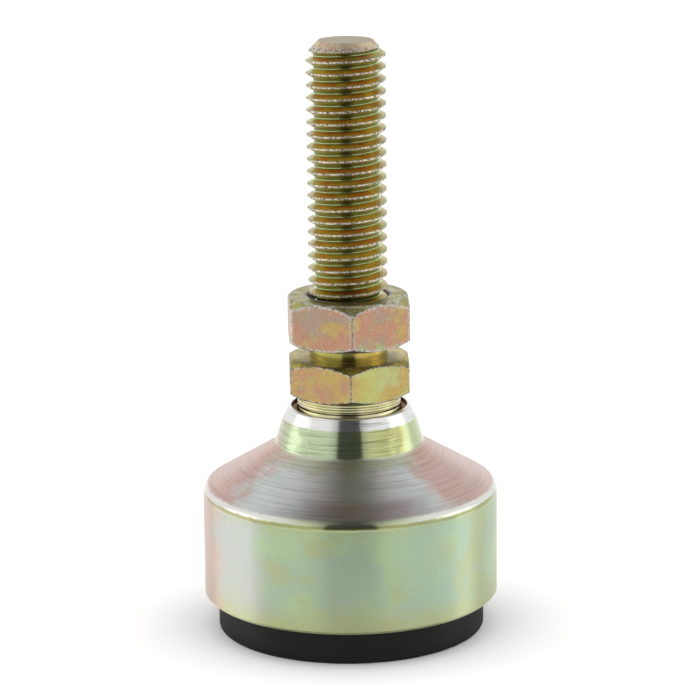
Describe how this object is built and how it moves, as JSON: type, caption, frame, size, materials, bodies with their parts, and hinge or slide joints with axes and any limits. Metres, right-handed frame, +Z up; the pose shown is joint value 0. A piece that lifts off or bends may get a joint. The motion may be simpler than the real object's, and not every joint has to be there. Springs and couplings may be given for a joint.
{
  "type": "furniture leveling foot",
  "caption": "Swivelling leveling foot: threaded steel stud with a jam nut on a round steel base with a rubber pad.",
  "frame": {"origin": "centre of the rubber pad's underside, where the foot meets the floor", "axes": "+Z up along the stud; -Y towards the hexagon corner that faces the viewer"},
  "size_m": [0.0476, 0.0476, 0.0957],
  "materials": {
    "passivated_steel": "satin",
    "dark_steel": "satin",
    "black_rubber": "matte",
    "white_plastic": "satin"
  },
  "bodies": {
    "base": {"base_housing": "passivated_steel", "rubber_pad": "black_rubber", "retaining_ring": "dark_steel"},
    "seat": {"thrust_seat": "dark_steel"},
    "liner": {"ball_liner": "white_plastic"},
    "stud": {"swivel_stud": "passivated_steel"},
    "nut": {"jam_nut": "passivated_steel"}
  },
  "joints": [
    {"name": "stud_swing", "type": "hinge", "parent": "base", "child": "seat", "pos_m": [0, 0, 0.0334], "axis": [0, 0, 1], "continuous": true},
    {"name": "stud_tilt", "type": "hinge", "parent": "seat", "child": "liner", "pos_m": [0, 0, 0.0334], "axis": [1, 0, 0], "range_deg": [-7, 7]},
    {"name": "stud_turn", "type": "hinge", "parent": "liner", "child": "stud", "pos_m": [0, 0, 0.0334], "axis": [0, 0, -1], "range_deg": [0, 7500]},
    {"name": "nut_travel", "type": "slide", "parent": "liner", "child": "nut", "axis": [0, 0, 1], "range_m": [0, 0.0407]}
  ],
  "couplings": [
    {"joint": "stud_turn", "follows": "nut_travel", "rad_per_m": 3215.8}
  ]
}
